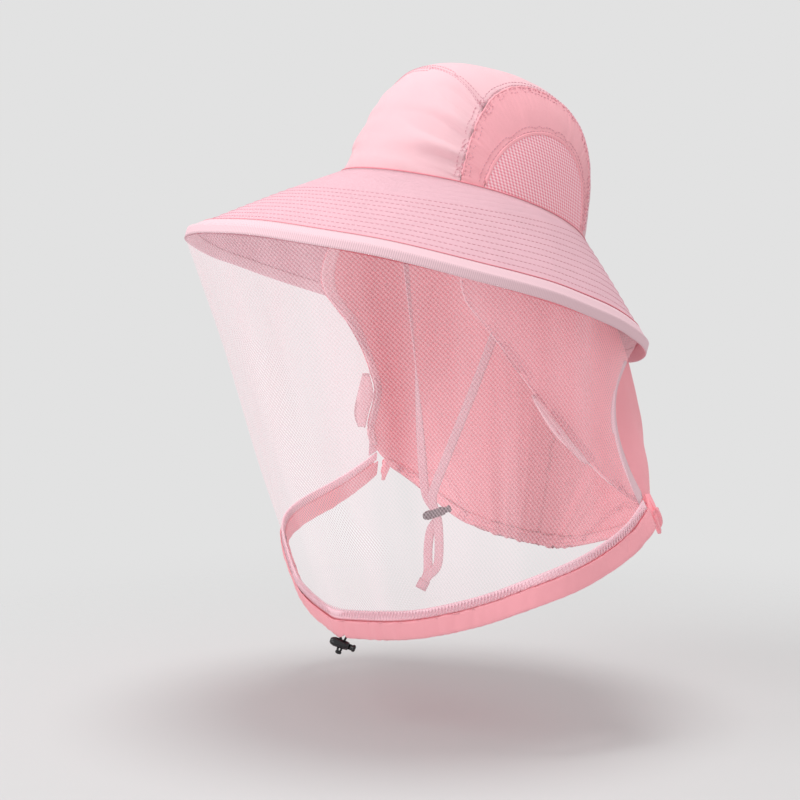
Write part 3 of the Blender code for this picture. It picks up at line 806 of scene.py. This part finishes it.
def brim_row(tree, distance, lift):
    """A ring on the brim at a distance in from its edge."""
    line = []
    for k in range(361):
        turn = 2 * pi * k / 360
        radius = brim_radius(turn) - distance
        start = HAT.transposed() @ Vector((radius * sin(turn), -radius * cos(turn), 0.1))
        place = tree.ray_cast(start, -UP)[0]
        line.append(place + UP * lift)
    return line


def sew_brim(thread, coral):
    """Rows of stitching round the brim, and the coral lines at its edge band and at the crown."""
    face = outer_face("upper_brim_cover", 2, crown_below, brim_ripple)
    tree = BVHTree.FromPolygons([v.co for v in face.vertices], [f.vertices for f in face.polygons])
    rows = [brim_row(tree, BRIM_BAND + row * BRIM_ROW_SPACING, 0.12 * MM) for row in range(BRIM_ROWS)]
    stitched("brim_stitches", rows, thread)
    opening = borders(face)[1]
    band = [brim_row(tree, BRIM_BAND - 0.5 * MM, 0.9 * MM)]
    corded("brim_band_piping", band, coral, 0.4 * MM)
    seam = pieces_of(moved_in(face, opening, 0.6 * MM, 0.2 * MM), always)
    corded("crown_seam_piping", seam, coral, 0.5 * MM)


def crown_below(point):
    """A place under the brim, so that outward is up."""
    return point - UP * 0.1


def always(_point):
    return True


def sew_flap(thread):
    """A double row along the flap's border, on both faces."""
    face = outer_face("neck_flap", 2, veil_middle, flap_folds)
    border = borders(face)[0]
    lines = []
    for inset in (3 * MM, 6 * MM):
        for lift in (0.15 * MM, -2.5 * MM):
            lines += pieces_of(moved_in(face, border, inset, lift), always)
    stitched("flap_stitches", lines, thread)


def gather_corners(pink):
    """The cloth of each corner: a few folds that twist together below the tack."""
    points, faces = [], []
    for side in ("left", "right"):
        low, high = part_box("corner_gather_" + side)
        middle = (low + high) / 2
        away = outward(middle, veil_middle)
        across = away.cross(Vector((0, 0, 1)))
        for fold in range(TUFT_FOLDS):
            line, radii = [], []
            for k in range(TUFT_STEPS):
                share = k / (TUFT_STEPS - 1)
                angle = 2 * pi * fold / TUFT_FOLDS + TUFT_TWIST * share
                spread = TUFT_SPREAD * (0.4 + 1.2 * share if share < 0.3 else 1 - 0.8 * share)
                place = middle + away * TUFT_LEAN * (share - 0.8)
                place.z = high.z + TUFT_RISE - (high.z + TUFT_RISE - low.z) * share
                line.append(place + (across * cos(angle) + away * 0.5 * sin(angle)) * spread)
                radii.append(TUFT_RADIUS * (0.35 + 0.65 * sin(pi * (0.1 + 0.8 * share))))
            tube_rings(line, radii, points, faces, 8)
    thread_mesh("corner_tufts", points, faces, pink)


def hem_line():
    """The middle of the hem's seam strip, from one ear to the other."""
    face = outer_face("hem_seam_strip", 1, veil_middle)
    middle = moved_in(face, borders(face)[0], 3.2 * MM)
    middle = sorted(middle, key=wall_turn)
    near = [middle[max(k - 6, 0) : k + 7] for k in range(len(middle))]
    return even([sum(points, Vector()) / len(points) for points in near], 4 * MM)


def sew_hem(overlock):
    """The overlock thread that zigzags over the seam strip, outside and inside."""
    middle = hem_line()
    points, faces = [], []
    for side in (-1, 1):
        zigzag = []
        for k, point in enumerate(even(middle, ZIGZAG_PITCH)):
            lift = outward(point, veil_middle) * side * ZIGZAG_LIFT
            rise = ZIGZAG_HEIGHT / 2 if k % 2 else -ZIGZAG_HEIGHT / 2
            zigzag.append(point + lift + Vector((0, 0, rise)))
        tube_rings(zigzag, [ZIGZAG_RADIUS] * len(zigzag), points, faces)
    thread_mesh("overlock_zigzag", points, faces, overlock)


# ---- ribbons ---------------------------------------------------------------------------------


def line_length(line):
    return sum((b - a).length for a, b in zip(line, line[1:]))


def add_ribbons(material):
    """The ribbons that reach from the hat to the chin toggle, and the ribbon end below it."""
    end = cloth("chin_ribbon_end", material, wall_place, "ribbon", 1, body=None)
    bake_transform(end)
    for side in ("left", "right"):
        node = "chin_ribbon_" + side
        ribbon = cloth(node, material, wall_place, "ribbon", middle=veil_middle, body=None)
        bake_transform(ribbon)


# ---- sheets of cloth -------------------------------------------------------------------------


ON_BRIM = ("brim_stitches", "brim_band_piping", "crown_seam_piping", "brim_edge_binding_cloth")
ON_FLAP = ("flap_stitches", "flap_hem_tape_cloth")
ON_FLAP_SIDES = ("flap_front_tape_{}_cloth", "ear_tab_{}_cloth", "ear_tab_snap_{}_shape")
ON_HEM = ("hem_seam_strip_cloth", "overlock_zigzag", "corner_tufts")


def both(names):
    """The names of the pieces on the left and on the right."""
    return tuple(name.format(side) for side in ("left", "right") for name in names)


# The share of its box that a cut fills: a sewn shape's usual share, and the least believable one.
USUAL_FILL, LEAST_FILL = 0.75, 0.50

# Each sheet, how it is held, what it is sewn to or hangs from, and what is sewn on it.
SHEETS = (
    ("front_crown_panel", "stretched", "sweatband", ("crown_stitches", "crown_seams")),
    ("top_crown_panel", "stretched", "sweatband", ()),
    ("left_side_panel", "stretched", "sweatband", ()),
    ("right_side_panel", "stretched", "sweatband", ()),
    ("left_vent_mesh", "stretched", "left_side_panel", ()),
    ("right_vent_mesh", "stretched", "right_side_panel", ()),
    ("sweatband", "folded", "front_crown_panel", both(("chin_anchor_{}_cloth",))),
    ("upper_brim_cover", "laid", "brim_interlining", ON_BRIM),
    ("brim_interlining", "laid", "lower_brim_cover", ()),
    ("lower_brim_cover", "stretched", "brim_interlining", ()),
    ("veil_net", "hung", "brim_edge_binding", both(("veil_side_binding_{}_cloth",))),
    ("neck_flap", "hung", "sweatband", ON_FLAP + both(ON_FLAP_SIDES)),
    ("hem_casing", "gathered", "veil_net", ON_HEM + both(("corner_gather_{}_cloth",))),
)


def flat_size(node, data):
    """Width and length of the cut: a ring's own width and depth, or the lengths along the cloth."""
    if "brim" in node:
        corners = [in_hat(v.co) for v in data.vertices]
        spans = [(c.x, c.y) for c in corners]
    else:
        spans = [tuple(corner.uv) for corner in data.uv_layers["cloth"].data]
    return [max(s[k] for s in spans) - min(s[k] for s in spans) for k in (0, 1)]


def cut_size(node, data, area):
    """Width and length of a cut. Lengths along the cloth run long where a ring is narrow."""
    if node == "hem_casing":
        width = line_length(hem_line())
        return width, area / width
    width, length = flat_size(node, data)
    if area < LEAST_FILL * width * length:
        if width < length:
            length = area / width / USUAL_FILL
        else:
            width = area / length / USUAL_FILL
    return width, max(length, area / width)


def declare_sheets():
    for node, held, rests_on, pieces in SHEETS:
        made = bpy.data.objects[node + "_cloth"]
        faces = 1 if node == "veil_net" else 2
        area = sum(face.area for face in made.data.polygons) / faces
        flat = cut_size(node, made.data, area)


# ---- the whole model -------------------------------------------------------------------------


BRIM_REACH = brim_reach()


def build():
    add_camera()
    add_world()
    add_lights()
    add_floor()
    bpy.context.scene.view_settings.view_transform = "Standard"

    ribbon = woven("ribbon_weave", RIBBON, spacing=1.1 * MM, depth=0.2 * MM, glow=FLAP_GLOW)
    add_ribbons(ribbon)

    pale = woven("pale_weave", PALE)
    pink = woven("pink_weave", PINK, glow=PANEL_GLOW)
    rose = woven("rose_weave", ROSE, spacing=1.2 * MM, depth=0.2 * MM)
    quilted = woven("quilted_weave", ROSE, 1.2 * MM, 0.2 * MM, rows=(BRIM_BAND, BRIM_ROW_SPACING))
    mesh = knitted("knitted_mesh", KNIT_LIGHT, KNIT_DARK)
    band = dotted("netted_band", BAND, shaded(BAND, 0.75))
    net = netting("face_net", VEIL)
    thread = woven("sewing_thread", THREAD, spacing=0.5 * MM)
    coral = woven("coral_piping", CORAL, spacing=0.8 * MM)
    plastic = moulded("glossy_plastic", BLACK)
    steel = metal("spring_wire", STEEL)
    white = woven("lining_weave", WHITE)
    overlock = woven("overlock_thread", OVERLOCK, spacing=2.2 * MM, depth=0.2 * MM, glow=FLAP_GLOW)
    hung = woven("thin_pink_weave", HUNG_PINK, glow=FLAP_GLOW)
    # Pale tape: the ear tabs are pale cloth, and on the flap's front tapes the pale colour is also a
    # painted highlight along the flap's front edge.
    edge = woven("pale_tape_weave", PALE, glow=FLAP_GLOW)
    cord = woven("cord_weave", BLACK, spacing=0.8 * MM)

    cloth("front_crown_panel", pale, strip_place, "pale_cloth", 3, change=puckers(FRONT_FOLD))
    cloth("top_crown_panel", pale, strip_place, "pale_cloth", change=puckers(SIDE_FOLD))
    for side in ("left", "right"):
        cloth(f"{side}_side_panel", pink, side_place, "pink_cloth", 3, change=puckers(SIDE_FOLD))
        cloth(f"{side}_vent_mesh", mesh, side_place, "knit_mesh")
    brim = {"middle": crown_below, "change": brim_ripple}
    cloth("upper_brim_cover", quilted, ring_place, "brim_cloth", **brim)
    cloth("lower_brim_cover", rose, ring_place, "brim_cloth", **brim)
    cloth("brim_interlining", white, ring_place, "interlining", **brim)
    cloth("brim_edge_binding", band, ring_place, "net_binding", **brim)
    cloth("sweatband", white, ring_place, "band_cloth", levels=1)
    hanging = {"middle": veil_middle, "change": veil_folds}
    swaying = {"middle": veil_middle, "change": flap_folds}
    cloth("veil_net", net, wall_place, "net", 3, sheet_only=True, **hanging)
    for side in ("left", "right"):
        cloth(f"veil_side_binding_{side}", band, wall_place, "net", **hanging)
        cloth(f"flap_front_tape_{side}", edge, wall_place, "pink_cloth", **swaying)
        cloth(f"ear_tab_{side}", edge, wall_place, "pale_cloth", **swaying)
        cloth(f"corner_gather_{side}", hung, wall_place, "pink_cloth", 3, veil_middle, gather_folds)
        hard(f"ear_tab_snap_{side}", moulded("snap_" + side, ROSE))
        cloth(f"chin_anchor_{side}", ribbon, wall_place, "ribbon", 1)
        cloth(f"drawcord_{side}", cord, wall_place, "cord", 1)
    hard("drawcord_knot", cord)
    cloth("hem_seam_strip", overlock, wall_place, "overlock", middle=veil_middle)
    cloth("hem_casing", hung, wall_place, "pink_cloth", 3, veil_middle, casing_puckers)
    cloth("neck_flap", hung, wall_place, "pink_cloth", 3, **swaying)
    cloth("flap_hem_tape", hung, wall_place, "pink_cloth", **swaying)
    for toggle in ("chin_toggle", "hem_toggle"):
        hard(toggle + "_body", plastic)
        hard(toggle + "_button", plastic)
        squeeze(hard(toggle + "_spring", steel, 0.03 * MM))
    sew_crown(thread)
    sew_seams(pink)
    sew_brim(thread, coral)
    sew_flap(thread)
    sew_hem(overlock)
    gather_corners(hung)
    declare_sheets()


build()
